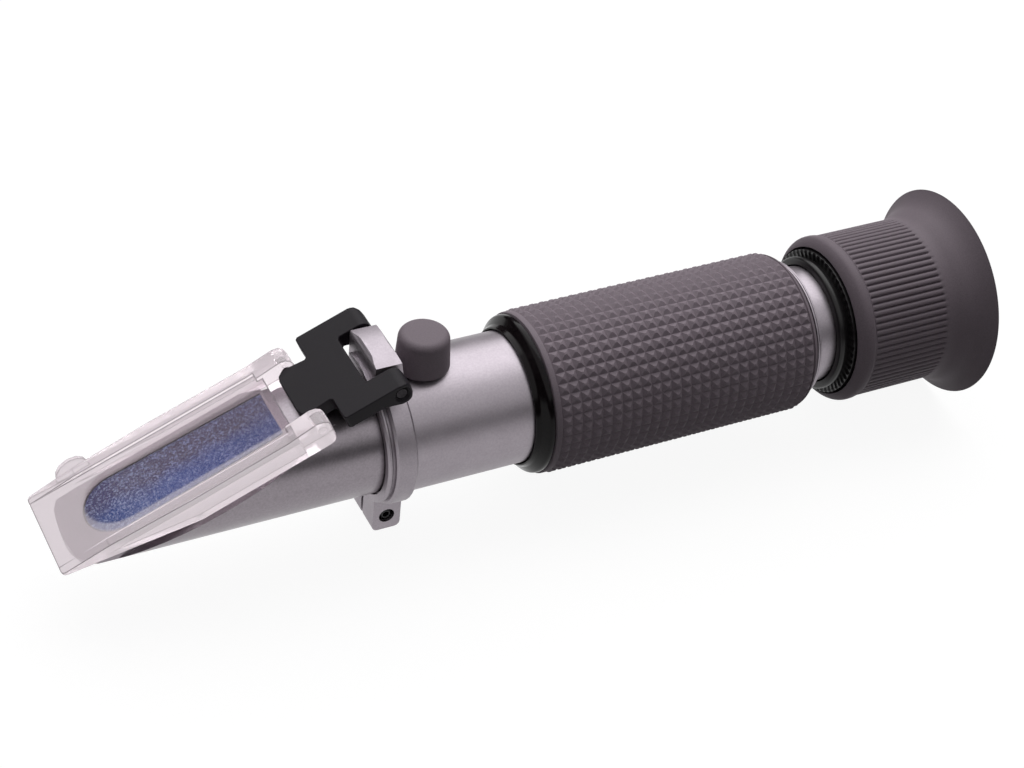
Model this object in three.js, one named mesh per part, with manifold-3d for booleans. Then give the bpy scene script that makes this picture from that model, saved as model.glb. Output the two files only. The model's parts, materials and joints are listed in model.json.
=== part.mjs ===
// A handheld refractometer: a tube with a hinged clear cover over a sloping prism face, a calibration
// screw under a rubber cap, a knurled rubber grip and a focusing eyepiece with a rubber eyecup.
// Millimetres, +Z up. While the pieces are made, x = 0 is the front face of the grip, z = 0 is the
// tube's axis, the prism points to -X and the eye is at +X. The group at the end moves the whole
// object so that it lies on z = 0, centred in x and y.
import * as THREE from "three";
import { mergeVertices, toCreasedNormals } from "three/addons/utils/BufferGeometryUtils.js";
import Module from "manifold-3d";

const wasm = await Module();
wasm.setup();

// General fits
const fitGap = 0.3;
const cutOverrun = 2;
const mergeDistance = 1e-4;
const creaseAngle = THREE.MathUtils.degToRad(35);

// Faceting: sides of round pieces, steps in a fillet, and the size under which a fillet is a chamfer
const tubeSides = 44;
const innerSides = 20;
const smallSides = 16;
const filletSteps = 3;
const wideFilletSteps = 7;
const wideFillet = 5.5;
const chamferBelow = 0.7;

// Main tube and grip
const tubeRadius = 11.8;
const tubeWall = 1.6;
const tubeVisibleLength = 22.2;
const gripRadius = 14.5;
const gripLength = 56.1;
const sleeveEndFillet = 1.9;
const frontRingLength = 2.6;
const frontRingStep = 0.3;
const frontRingLip = 0.25;
const frontRingFootLength = 0.8;
const frontRingFootRise = 0.65;
const frontRingLand = 0.7;
const frontRingFillet = 0.65;
const rearRingLength = 0.9;
const rearRingStep = 1.5;
const rearRingLand = 0.4;
const rearRingTaper = 0.35;
const rearRingFillet = 0.15;

// Prism body
const bodyRadius = 10.6;
const bodyReach = 79.5;
const bodyWall = 2.2;
const spigotLength = 5;
const lightBoreRadius = 6.8;
const bodyNoseFillet = 3.5;

// Cover frame: its origin is the hinge pin, and it slopes down towards the nose
const hingeAhead = 25.3;
const hingeHeight = 16.45;
const coverSlope = THREE.MathUtils.degToRad(23);

// Hinge arm
const armThickness = 2.7;
const armEndRadius = 2;
const armHalfWidth = 10.95;
const armCornerFillet = 0.4;
const armRearFillet = 1.5;
const armHeelFillet = 1;
const armHeelReach = 0.6;
const windowHalfWidth = 6.05;
const windowReach = 4.1;
const crossbarReach = 10.15;
const tongueReach = 16.05;
const tongueRootHalfWidth = 5.4;
const tongueTipHalfWidth = 6.05;
const tongueTipFillet = 1.9;
const hingePinRadius = 1;
const pinClearance = 0.05;
const hingePinRecess = 0.35;
const hingeRecessRadius = 1.35;

// Daylight plate
const plateReach = 61.5;
const plateRearEdge = 18.15;
const plateThickness = 1.9;
const plateNoseThickness = 0.55;
const plateNoseHalfWidth = 9.6;
const plateMidHalfWidth = 10.3;
const plateRearHalfWidth = 10.1;
const plateCornerFillet = 0.8;
const flankThickness = 1.8;
const flankDrop = 4.6;
const flankTaperLength = 23.5;
const flankTaperFillet = 8;
const rimInset = 2;
const rimTaperLength = 9;
const rimRise = 0.65;
const plateBarLength = 1;
const earRearEdge = 12.4;
const earLength = 2.3;
const earRise = 1.15;
const earRampLength = 5.4;
const earGap = 0.35;
const earTopFillet = 2;
const earFootFillet = 1.4;
const platePinReach = 14.1;
const platePinRadius = 0.75;
const platePinInset = 1.1;
const tabReach = 52.9;
const tabHalfLength = 3;
const tabOverhang = 3;
const tabFillet = 2.7;
const tabDrop = 0.4;
const tabThickness = 1.1;

// Prism and the island that frames it
const islandHalfWidth = 7.6;
const islandNeckHalfWidth = 5.9;
const ledgeDepth = 3.2;
const saddleDepth = 1.0;
const prismRearHalfWidth = 5.4;
const prismFrontHalfWidth = 6.2;
const prismFrontReach = 54.7;
const prismRearMargin = 0.9;
const prismDepth = 16;
const windowCollar = 2;
const islandRearGap = 1.2;

// Clamp band with its hinge lug and screw ears
const clampWidth = 3.9;
const clampWall = 1;
const clampEdgeFillet = 0.4;
const grooveWidth = 0.4;
const grooveDepth = 0.6;
const lipWidth = 0.9;
const lipStep = 0.7;
const lipFillet = 0.35;
const lugHalfWidth = 5.4;
const knuckleRadius = 2.5;
const knuckleFillet = 1.1;
const crestReach = 2.1;
const crestFillet = 0.7;
const padReach = 3.2;
const padHalfWidth = 3.9;
const padRise = 3.5;
const padFillet = 0.3;
const padSlotWidth = 0.4;
const padSlotHalfLength = 2.2;
const padSlotDepth = 0.8;
const padSlotInset = 0.75;
const lugRearReach = 3.3;
const earBlockLength = 5.2;
const earBlockHalfWidth = 4.75;
const earBlockFillet = 1;
const earSlit = 0.8;
const clampScrewRadius = 0.8;
const clampScrewHeadRadius = 1.15;
const clampScrewHeadLength = 1.6;
const clampScrewAbove = 3;
const clampSocketRadius = 0.65;
const clampSocketDepth = 1;
const clampRecess = 0.35;
const hexSides = 6;

// Calibration screw, bush and cap
const calibrationAhead = 16.7;
const capRadius = 4.8;
const capTopRadius = 4.35;
const capHeight = 7;
const capFootGap = 0.1;
const capFootFillet = 0.6;
const capTopFillet = 1.3;
const capCavityHeight = 5.6;
const capCrown = 0.15;
const bushRadius = 3.2;
const bushStemRadius = 2.3;
const bushRise = 1.8;
const screwRadius = 1.1;
const screwHeadRadius = 2.1;
const screwHeadHeight = 1.3;
const screwSlotWidth = 0.6;
const screwSlotDepth = 0.7;

// Objective, bimetal strip and light stop
const cellRadius = 8.9;
const cellLength = 6;
const objectiveRadius = 6.8;
const objectiveThickness = 2.4;
const objectiveBulge = 0.9;
const lensLip = 0.9;
const lensRingLength = 1.2;
const anchorAfter = 8;
const anchorLength = 6;
const anchorBoreRadius = 6.2;
const stripHalfWidth = 2.4;
const stripThickness = 0.6;
const stripSeatDepth = 7.2;
const stripNotchLength = 3;
const stripEndMargin = 0.5;
const stripScrewRadius = 0.8;
const stripScrewHeadRadius = 1.4;
const stripScrewHeadHeight = 0.8;
const stopAfter = 24;
const stopThickness = 1.2;
const stopApertureRadius = 4.6;

// Eyepiece neck and reticle
const neckRadius = 10.8;
const neckVisibleLength = 4.2;
const neckInsideCollar = 6.4;
const neckSpigotLength = 16.5;
const neckBoreRadius = 8.8;
const reticleThickness = 1.2;
const reticleLip = 1;
const reticleRingLength = 1.4;

// Focusing eyepiece
const collarLength = 14.6;
const collarFrontRadius = 11.95;
const collarStepRadius = 12.75;
const collarRadius = 13.5;
const collarFrontLength = 0.9;
const collarStepLength = 0.9;
const collarFillet = 0.3;
const collarShoulder = 2.2;
const barrelRadius = 8.4;
const barrelWall = 0.9;
const barrelFlangeLength = 2;
const barrelFrontReach = 10;
const fieldLensThickness = 3;
const eyeLensThickness = 3.2;
const ocularBulge = 1;

// Eyecup
const skirtOffset = 2.6;
const skirtGap = 0.4;
const beadLip = 0.1;
const beadRadius = 15.55;
const beadLength = 3.1;
const beadFrontLength = 1.5;
const beadFrontFillet = 1.3;
const beadRearFillet = 0.9;
const ribRadius = 15.3;
const ribBandLength = 15.6;
const stripAfterRibs = 1.85;
const flareLength = 6.55;
const flareFootFillet = 4;
const flareMidAhead = 2.45;
const flareMidRadius = 17;
const flareMidFillet = 5;
const bowlWall = 1.1;
const rimRadius = 19.5;
const rimThickness = 1;
const rimEdge = 0.3;
const rimFillet = 0.45;
const bowlFloorAhead = 10.4;
const bowlFloorRadius = 9.6;
const barrelSetBack = 0.7;

// Places along the tube
const clampRear = -tubeVisibleLength;
const clampFront = clampRear - clampWidth;
const tubeFront = clampFront - grooveWidth;
const lipFront = tubeFront - lipWidth;
const sleeveFront = frontRingLength + fitGap;
const rearRingFront = gripLength + fitGap;
const rearRingRear = rearRingFront + rearRingLength;
const collarFront = rearRingRear + neckVisibleLength;
const collarRear = collarFront + collarLength;
const neckRear = collarFront + neckInsideCollar;
const skirtFront = collarFront + skirtOffset;
const ribFront = skirtFront + beadLength;
const ribRear = ribFront + ribBandLength;
const flareFront = ribRear + stripAfterRibs;
const rimRear = flareFront + flareLength;
const tubeBoreRadius = tubeRadius - tubeWall;
const clampRadius = tubeRadius + fitGap + clampWall;
const footDepth = rimRadius;
const spigotRear = tubeFront + spigotLength;
const prismRear = -(hingeAhead + plateRearEdge);
const earFront = clampFront;
const bushTop = tubeRadius + bushRise;
const bushFoot = tubeBoreRadius - fitGap;
const objectiveFront = -(calibrationAhead + cellLength / 2);
const objectiveEdge = objectiveFront + lensLip + fitGap + objectiveBulge;
const objectiveRingFront = objectiveEdge + objectiveThickness + fitGap;
const anchorFront = anchorAfter;
const neckFront = rearRingFront - neckSpigotLength;
const reticleRear = neckFront + fitGap + reticleRingLength + fitGap + reticleThickness;
const barrelFront = neckRear - barrelFrontReach;
const bowlFloor = rimRear - bowlFloorAhead;
const barrelRear = bowlFloor - barrelSetBack;
const fieldLensFront = barrelFront + lensLip + fitGap;
const eyeLensFront = barrelRear - lensRingLength - fitGap - eyeLensThickness;
const platePinHalfLength = plateRearHalfWidth - platePinInset;

// Places across the cover, in its own frame
const coverTop = armEndRadius;
const plateUnderside = coverTop - plateThickness;
const prismTop = plateUnderside - fitGap;
const coverFrame = new THREE.Matrix4()
  .makeTranslation(-hingeAhead, 0, hingeHeight)
  .multiply(new THREE.Matrix4().makeRotationY(-coverSlope));

// A path through corners [x, y, fillet], each fillet an arc, limited by the sides that meet there.
function filletedPath(corners, closed) {
  const path = closed ? new THREE.Shape() : new THREE.Path();
  const point = ([x, y]) => new THREE.Vector2(x, y);
  const count = corners.length;
  corners.forEach((corner, i) => {
    const here = point(corner);
    const back = point(corners[(i + count - 1) % count]).sub(here);
    const on = point(corners[(i + 1) % count]).sub(here);
    const isEnd = !closed && (i === 0 || i === count - 1);
    const fillet = isEnd ? 0 : corner[2] ?? 0;
    const opening = back.angleTo(on) / 2;
    const room = (side, next) => side.length() / (next[2] ? 2 : 1);
    const reach = Math.min(
      fillet / Math.tan(opening),
      room(back, corners[(i + count - 1) % count]),
      room(on, corners[(i + 1) % count]),
    );
    const entry = here.clone().add(back.setLength(reach));
    const exit = here.clone().add(on.setLength(reach));
    if (i === 0) path.moveTo(entry.x, entry.y);
    else path.lineTo(entry.x, entry.y);
    const steps = fillet < chamferBelow ? 1 : fillet < wideFillet ? filletSteps : wideFilletSteps;
    const turn = Math.PI - opening * 2;
    const handleShare = (Math.tan(turn / 4) / Math.tan(turn / 2)) * (4 / 3);
    const bend = new THREE.CubicBezierCurve(
      entry,
      entry.clone().lerp(here, handleShare),
      exit.clone().lerp(here, handleShare),
      exit,
    );
    if (reach > 0) bend.getPoints(steps).slice(1).forEach((p) => path.lineTo(p.x, p.y));
  });
  if (closed) path.closePath();
  return path;
}

// A closed ring about the tube's axis. Its corners are [x, radius, fillet], the outer wall towards +X.
function turnedRing(corners, sides) {
  const points = filletedPath(corners, true).getPoints(filletSteps);
  if (!points[0].equals(points.at(-1))) points.push(points[0].clone());
  return turned(points, sides);
}

// A body about the tube's axis whose profile starts and ends on that axis.
function turnedSolid(corners, sides) {
  return turned(filletedPath(corners, false).getPoints(filletSteps), sides);
}

function turned(points, sides) {
  const profile = points.map((p) => new THREE.Vector2(p.y, p.x));
  return new THREE.LatheGeometry(profile, sides).rotateZ(-Math.PI / 2);
}

// A plain rod between two places on the tube's axis.
function rod(radius, from, to, sides) {
  return turnedSolid([[from, 0], [from, radius], [to, radius], [to, 0]], sides);
}

// A round pin across the object, along Y.
function crossPin(radius, halfLength, x, z, sides) {
  return rod(radius, -halfLength, halfLength, sides)
    .rotateZ(Math.PI / 2)
    .translate(x, 0, z);
}

// A side view in x and z, carried across the object from one y to another.
function acrossWidth(corners, nearY, farY) {
  return new THREE.ExtrudeGeometry(filletedPath(corners, true), {
    depth: farY - nearY,
    bevelEnabled: false,
    curveSegments: filletSteps,
  })
    .rotateX(Math.PI / 2)
    .translate(0, farY, 0);
}

// A plan in x and y, raised from one z to another.
function raised(corners, bottom, top) {
  return new THREE.ExtrudeGeometry(filletedPath(corners, true), {
    depth: top - bottom,
    bevelEnabled: false,
    curveSegments: filletSteps,
  }).translate(0, 0, bottom);
}

// The corners of a rectangle, for the two functions above.
function rectangle(left, low, right, high, fillet = 0) {
  return [
    [left, low, fillet],
    [right, low, fillet],
    [right, high, fillet],
    [left, high, fillet],
  ];
}

function solid(geometry) {
  const bare = geometry.index ? geometry.toNonIndexed() : geometry.clone();
  bare.deleteAttribute("normal");
  bare.deleteAttribute("uv");
  const merged = mergeVertices(bare, mergeDistance);
  const corners = merged.index.array;
  const kept = [];
  for (let i = 0; i < corners.length; i += 3) {
    const [a, b, c] = corners.slice(i, i + 3);
    if (a !== b && b !== c && c !== a) kept.push(a, b, c);
  }
  const vertProperties = merged.attributes.position.array;
  const triVerts = new Uint32Array(kept);
  return new wasm.Manifold(new wasm.Mesh({ numProp: 3, vertProperties, triVerts }));
}

const inCoverFrame = (geometry) => geometry.applyMatrix4(coverFrame);

// Materials
const finish = (color, roughness, metalness) =>
  new THREE.MeshStandardMaterial({ color, roughness, metalness });
const satinMetal = finish(0xa9a4a6, 0.42, 0.9);
const polishedMetal = finish(0xd4d2d3, 0.22, 1);
const darkMetal = finish(0x3a393b, 0.4, 0.8);
const brassMetal = finish(0xb08a45, 0.35, 0.9);
const blackGloss = finish(0x121113, 0.2, 0);
const blackMatte = finish(0x343033, 0.6, 0);
const greyRubber = finish(0x6e666c, 0.72, 0);
const clearPlastic = new THREE.MeshStandardMaterial({
  color: 0xe8dfe2,
  roughness: 0.1,
  metalness: 0,
  transparent: true,
  opacity: 0.35,
});
const blueGlass = finish(0x4b5a94, 0.12, 0);
const opticalGlass = new THREE.MeshStandardMaterial({
  color: 0xdfe8ec,
  roughness: 0.05,
  metalness: 0,
  transparent: true,
  opacity: 0.35,
});

function part(name, shape, material) {
  const { vertProperties, triVerts } = shape.getMesh();
  const geometry = new THREE.BufferGeometry();
  geometry.setAttribute("position", new THREE.BufferAttribute(vertProperties, 3));
  geometry.setIndex(new THREE.BufferAttribute(triVerts, 1));
  const mesh = new THREE.Mesh(toCreasedNormals(geometry, creaseAngle), material);
  mesh.name = name;
  return mesh;
}

// The plan of the prism window, wider at its round nose, shrunk on all sides by an inset.
function windowPlan(inset) {
  const rear = -(plateRearEdge + prismRearMargin + inset);
  const front = -(prismFrontReach - inset);
  const rearHalf = prismRearHalfWidth - inset;
  const frontHalf = prismFrontHalfWidth - inset;
  return [
    [rear, -rearHalf],
    [rear, rearHalf],
    [front, frontHalf, frontHalf],
    [front, -frontHalf, frontHalf],
  ];
}

function makePrismBody() {
  const shoulder = tubeFront - fitGap;
  const barrel = turnedSolid(
    [
      [-bodyReach, 0],
      [-bodyReach, bodyRadius, bodyNoseFillet],
      [shoulder, bodyRadius],
      [shoulder, tubeBoreRadius - fitGap],
      [spigotRear, tubeBoreRadius - fitGap],
      [spigotRear, 0],
    ],
    tubeSides,
  );
  const ledge = prismTop - ledgeDepth;
  const root = ledge - armThickness;
  const saddle = prismTop - saddleDepth;
  const sky = bodyReach;
  const nose = -(plateReach + cutOverrun);
  const side = bodyRadius + cutOverrun;
  const islandRear = -(plateRearEdge + islandRearGap);
  const above = raised(rectangle(nose, -side, bodyRadius, side), ledge, sky);
  const islandPlan = rectangle(nose, -islandHalfWidth, islandRear, islandHalfWidth);
  const neckPlan = rectangle(islandRear - bodyWall, -islandNeckHalfWidth, bodyRadius, islandNeckHalfWidth);
  const whole = solid(barrel);
  const lightBore = rod(lightBoreRadius, prismRear, spigotRear + cutOverrun, innerSides);
  return whole
    .subtract(solid(inCoverFrame(above)))
    .add(whole.intersect(solid(inCoverFrame(raised(islandPlan, root, prismTop)))))
    .add(whole.intersect(solid(inCoverFrame(raised(neckPlan, root, saddle)))))
    .subtract(prismShape(0, sky))
    .subtract(solid(lightBore));
}

// The prism, or with no inset the pocket that it sits in: the window's plan, cut off by the round of
// the body's inner wall below and square to the tube at the rear.
function prismShape(inset, top) {
  const plan = raised(windowPlan(inset), prismTop - prismDepth, top);
  const inner = rod(bodyRadius - bodyWall - inset, bodyWall - bodyReach + inset, prismRear, tubeSides);
  const sides = solid(inCoverFrame(plan));
  const upper = raised(windowPlan(inset), prismTop - windowCollar, top);
  return sides.intersect(solid(inner)).add(solid(inCoverFrame(upper)).intersect(beforePrismRear()));
}

// Everything ahead of the prism's rear face.
function beforePrismRear() {
  return solid(rod(bodyRadius + cutOverrun, -bodyReach, prismRear, tubeSides));
}

function makeMainTube() {
  const wall = turnedRing(
    [
      [tubeFront, tubeRadius],
      [gripLength, tubeRadius],
      [gripLength, tubeBoreRadius],
      [tubeFront, tubeBoreRadius],
    ],
    tubeSides,
  );
  const bushHole = upright(rod(bushStemRadius + fitGap, 0, tubeRadius + cutOverrun, smallSides));
  return solid(wall).subtract(solid(bushHole));
}

function makeClampBand() {
  const lipRadius = clampRadius - lipStep;
  const band = turnedRing(
    [
      [lipFront, bodyRadius + fitGap],
      [lipFront, lipRadius, lipFillet],
      [tubeFront, lipRadius, lipFillet],
      [tubeFront, clampRadius - grooveDepth - lipStep + lipFillet],
      [clampFront, clampRadius - grooveDepth - lipStep + lipFillet],
      [clampFront, clampRadius, clampEdgeFillet],
      [clampRear, clampRadius, clampEdgeFillet],
      [clampRear, tubeRadius + fitGap],
      [tubeFront - fitGap, tubeRadius + fitGap],
      [tubeFront - fitGap, bodyRadius + fitGap],
    ],
    tubeSides,
  );
  const hinge = -hingeAhead;
  const crown = hingeHeight + knuckleRadius;
  const face = hinge - knuckleRadius;
  const lugView = [
    [face, 0],
    [face, crown, knuckleFillet],
    [hinge + crestReach, crown, crestFillet],
    [hinge + lugRearReach, tubeRadius],
    [hinge + lugRearReach, 0],
  ];
  const padView = rectangle(hinge - padReach, 0, hinge, tubeRadius + padRise, padFillet);
  const slotFront = hinge - padReach + padSlotInset;
  const slotView = rectangle(
    slotFront,
    tubeRadius + padRise - padSlotDepth,
    slotFront + padSlotWidth,
    hingeHeight,
  );
  const lug = crowned(acrossWidth(lugView, -lugHalfWidth, lugHalfWidth), crown);
  const pad = crowned(acrossWidth(padView, -padHalfWidth, padHalfWidth), tubeRadius + padRise).subtract(
    solid(acrossWidth(slotView, -padSlotHalfLength, padSlotHalfLength)),
  );
  const earView = [
    [earFront, 0],
    [earFront, -footDepth, earBlockFillet],
    [earFront + earBlockLength, -footDepth, earBlockFillet],
    [earFront + earBlockLength, 0],
  ];
  const ears = acrossWidth(earView, -earBlockHalfWidth, earBlockHalfWidth);
  const slit = acrossWidth(
    rectangle(lipFront - cutOverrun, -footDepth - cutOverrun, clampRear + tubeRadius, 0),
    -earSlit / 2,
    earSlit / 2,
  );
  const tubeSpace = rod(tubeRadius + fitGap, tubeFront - fitGap, 0, tubeSides);
  const bodySpace = rod(bodyRadius + fitGap, -bodyReach, 0, tubeSides);
  const pinHole = crossPin(hingePinRadius + pinClearance * 2, armHalfWidth, hinge, hingeHeight, smallSides);
  const screwHole = clampScrewLine(
    rod(clampScrewRadius + pinClearance * 2, -armHalfWidth, armHalfWidth, smallSides),
  );
  const headHole = clampScrewLine(
    rod(
      clampScrewHeadRadius + fitGap,
      -armHalfWidth,
      clampRecess + clampScrewHeadLength + fitGap - earBlockHalfWidth,
      smallSides,
    ),
  );
  return solid(band)
    .add(lug)
    .add(pad)
    .add(solid(ears))
    .subtract(solid(slit))
    .subtract(solid(tubeSpace))
    .subtract(solid(bodySpace))
    .subtract(solid(pinHole))
    .subtract(solid(screwHole))
    .subtract(solid(headHole));
}

// A block under a crown that is round about the tube's axis.
function crowned(geometry, crownRadius) {
  return solid(geometry).intersect(solid(rod(crownRadius, -bodyReach, 0, tubeSides)));
}

// Turns a rod along X into one along Y at the clamp screw's place.
function clampScrewLine(geometry) {
  return geometry
    .rotateZ(Math.PI / 2)
    .translate(earFront + earBlockLength / 2, 0, clampScrewAbove - footDepth);
}

function makeClampScrew() {
  const headFront = clampRecess - earBlockHalfWidth;
  const screw = turnedSolid(
    [
      [headFront, 0],
      [headFront, clampScrewHeadRadius, clampRecess],
      [headFront + clampScrewHeadLength, clampScrewHeadRadius],
      [headFront + clampScrewHeadLength, clampScrewRadius],
      [earBlockHalfWidth - clampRecess, clampScrewRadius],
      [earBlockHalfWidth - clampRecess, 0],
    ],
    smallSides,
  );
  const socket = rod(clampSocketRadius, headFront - cutOverrun, headFront + clampSocketDepth, hexSides);
  return solid(clampScrewLine(screw)).subtract(solid(clampScrewLine(socket)));
}

// Turns a rod along X into one along Z at the calibration screw's place.
function upright(geometry) {
  return geometry.rotateY(-Math.PI / 2).translate(-calibrationAhead, 0, 0);
}

function aroundTube() {
  return solid(rod(tubeRadius + fitGap, -bodyReach, gripLength, tubeSides));
}

function makeCalibrationBush() {
  const flange = upright(rod(bushRadius, 0, bushTop, smallSides));
  const stem = upright(rod(bushStemRadius, bushFoot, bushTop - fitGap, smallSides));
  const bore = upright(rod(screwRadius + pinClearance * 2, 0, bushTop + cutOverrun, smallSides));
  return solid(flange).subtract(aroundTube()).add(solid(stem)).subtract(solid(bore));
}

function makeCalibrationScrew() {
  const headBottom = bushTop + fitGap;
  const headTop = headBottom + screwHeadHeight;
  const screw = turnedSolid(
    [
      [cellRadius + fitGap, 0],
      [cellRadius + fitGap, screwRadius],
      [headBottom, screwRadius],
      [headBottom, screwHeadRadius],
      [headTop, screwHeadRadius, fitGap],
      [headTop, 0],
    ],
    smallSides,
  );
  const slotPlan = rectangle(-screwSlotWidth / 2, -screwRadius * 2, screwSlotWidth / 2, screwRadius * 2);
  const slot = raised(slotPlan, headTop - screwSlotDepth, headTop + cutOverrun);
  return solid(upright(screw)).subtract(solid(slot.translate(-calibrationAhead, 0, 0)));
}

function makeCalibrationCap() {
  const base = tubeRadius + capFootGap;
  const top = tubeRadius + capHeight;
  const skin = turnedSolid(
    [
      [base, 0],
      [base, capRadius, capFootFillet],
      [top, capTopRadius, capTopFillet],
      [top + capCrown, 0],
    ],
    innerSides,
  );
  const cavity = upright(rod(bushRadius + fitGap, 0, tubeRadius + capCavityHeight, innerSides));
  return solid(upright(skin)).subtract(solid(cavity)).subtract(aroundTube());
}

function makeGripFrontRing() {
  const bore = tubeRadius + fitGap;
  const outer = gripRadius - frontRingStep;
  return solid(
    turnedRing(
      [
        [0, bore],
        [0, bore + frontRingLip],
        [frontRingFootLength, bore + frontRingFootRise, frontRingFillet],
        [frontRingLength - frontRingLand, outer, frontRingFillet],
        [frontRingLength, outer],
        [frontRingLength, bore],
      ],
      tubeSides,
    ),
  );
}

function makeGripSleeve() {
  return solid(
    turnedRing(
      [
        [sleeveFront, tubeRadius + fitGap],
        [sleeveFront, gripRadius, fitGap],
        [gripLength, gripRadius, sleeveEndFillet],
        [gripLength, tubeRadius + fitGap],
      ],
      tubeSides,
    ),
  );
}

function makeGripRearRing() {
  const outer = gripRadius - rearRingStep;
  return solid(
    turnedRing(
      [
        [rearRingFront, neckRadius + fitGap],
        [rearRingFront, outer, rearRingFillet],
        [rearRingFront + rearRingLand, outer, rearRingFillet],
        [rearRingRear, outer - rearRingTaper, rearRingFillet],
        [rearRingRear, neckRadius + fitGap],
      ],
      tubeSides,
    ),
  );
}

function makeEyepieceNeck() {
  const spigotRadius = tubeBoreRadius - fitGap;
  const lipRadius = neckBoreRadius - reticleLip;
  return solid(
    turnedRing(
      [
        [neckFront, neckBoreRadius],
        [neckFront, spigotRadius],
        [rearRingFront, spigotRadius],
        [rearRingFront, neckRadius],
        [neckRear, neckRadius],
        [neckRear, neckBoreRadius],
        [reticleRear + fitGap + reticleLip, neckBoreRadius],
        [reticleRear + fitGap + reticleLip, lipRadius],
        [reticleRear + fitGap, lipRadius],
        [reticleRear + fitGap, neckBoreRadius],
      ],
      tubeSides,
    ),
  );
}

// A plain ring about the tube's axis.
function plainRing(outer, bore, from, to) {
  return solid(
    turnedRing(
      [
        [from, bore],
        [from, outer],
        [to, outer],
        [to, bore],
      ],
      innerSides,
    ),
  );
}

// A round glass between two places at its edge, its faces bulging by the same height.
function makeLens(radius, from, to, bulge) {
  const steps = filletSteps;
  const face = (edge, height) =>
    Array.from({ length: steps + 1 }, (_, k) => {
      const share = k / steps;
      return new THREE.Vector2(edge + height * (1 - share * share), radius * share);
    });
  const points = [...face(from, -bulge), ...face(to, bulge).reverse()];
  return solid(turned(points, innerSides));
}

function makeObjectiveCell() {
  const rear = objectiveFront + cellLength;
  const shell = turnedRing(
    [
      [objectiveFront, objectiveRadius - lensLip],
      [objectiveFront, cellRadius],
      [rear, cellRadius],
      [rear, objectiveRadius + fitGap],
      [objectiveFront + lensLip, objectiveRadius + fitGap],
      [objectiveFront + lensLip, objectiveRadius - lensLip],
    ],
    innerSides,
  );
  return solid(shell).subtract(stripNotch(rear - stripNotchLength, rear + cutOverrun));
}

// The flat under a ring that leaves room for the bimetal strip.
function stripNotch(from, to) {
  const view = rectangle(from, -tubeRadius, to, -stripSeatDepth);
  return solid(acrossWidth(view, -stripHalfWidth - fitGap, stripHalfWidth + fitGap));
}

function makeStripAnchor() {
  const rear = anchorFront + anchorLength;
  const ring = plainRing(tubeBoreRadius - fitGap, anchorBoreRadius, anchorFront, rear);
  return ring
    .subtract(stripNotch(anchorFront - cutOverrun, rear + cutOverrun))
    .subtract(stripScrewLine(stripScrewRadius + pinClearance * 2, -tubeRadius, 0));
}

// An upright rod on the strip screw's line.
function stripScrewLine(radius, bottom, top) {
  return solid(
    rod(radius, bottom, top, smallSides)
      .rotateY(-Math.PI / 2)
      .translate(anchorFront + anchorLength / 2, 0, 0),
  );
}

function makeBimetalStrip() {
  const front = objectiveFront + cellLength - stripNotchLength + fitGap;
  const rear = anchorFront + anchorLength - stripEndMargin;
  const top = -(stripSeatDepth + fitGap);
  const plan = rectangle(front, -stripHalfWidth, rear, stripHalfWidth, stripEndMargin);
  return solid(raised(plan, top - stripThickness, top)).subtract(
    stripScrewLine(stripScrewRadius + pinClearance * 2, -tubeRadius, 0),
  );
}

function makeStripScrew() {
  const seat = -(stripSeatDepth + fitGap + stripThickness + fitGap);
  return stripScrewLine(stripScrewHeadRadius, seat - stripScrewHeadHeight, seat).add(
    stripScrewLine(stripScrewRadius, seat - stripScrewHeadHeight / 2, -anchorBoreRadius - fitGap),
  );
}

function makeEyepieceCollar() {
  const shoulder = collarRear - collarShoulder;
  const step = collarFront + collarFrontLength;
  const land = step + collarStepLength;
  return solid(
    turnedRing(
      [
        [collarFront, neckRadius + fitGap],
        [collarFront, collarFrontRadius, collarFillet],
        [step, collarFrontRadius],
        [step, collarStepRadius],
        [land, collarStepRadius],
        [land, collarRadius, collarFillet],
        [collarRear, collarRadius],
        [collarRear, barrelRadius + fitGap],
        [shoulder, barrelRadius + fitGap],
        [shoulder, neckRadius + fitGap],
      ],
      tubeSides,
    ),
  );
}

function makeOcularBarrel() {
  const bore = barrelRadius - barrelWall;
  const flangeRear = collarRear - collarShoulder - fitGap;
  const flangeFront = flangeRear - barrelFlangeLength;
  return solid(
    turnedRing(
      [
        [barrelFront, bore - lensLip],
        [barrelFront, barrelRadius],
        [flangeFront, barrelRadius],
        [flangeFront, neckRadius],
        [flangeRear, neckRadius],
        [flangeRear, barrelRadius],
        [barrelRear, barrelRadius],
        [barrelRear, bore],
        [barrelFront + lensLip, bore],
        [barrelFront + lensLip, bore - lensLip],
      ],
      innerSides,
    ),
  );
}

function makeEyecup() {
  const skirtBore = collarRadius + skirtGap;
  const floorFront = collarRear + fitGap;
  const flareMid = rimRear - flareMidAhead;
  return solid(
    turnedRing(
      [
        [skirtFront, skirtBore],
        [skirtFront, skirtBore + beadLip],
        [skirtFront + beadFrontLength, beadRadius, beadFrontFillet],
        [ribFront, beadRadius, beadRearFillet],
        [ribFront, ribRadius],
        [flareFront, ribRadius, flareFootFillet],
        [flareMid, flareMidRadius, flareMidFillet],
        [rimRear - rimEdge, rimRadius - rimEdge],
        [rimRear, rimRadius],
        [rimRear, rimRadius - rimThickness, rimFillet],
        [flareMid, flareMidRadius - bowlWall, flareMidFillet],
        [bowlFloor, bowlFloorRadius],
        [bowlFloor, barrelRadius + fitGap],
        [floorFront, barrelRadius + fitGap],
        [floorFront, skirtBore],
      ],
      tubeSides,
    ),
  );
}

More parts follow.
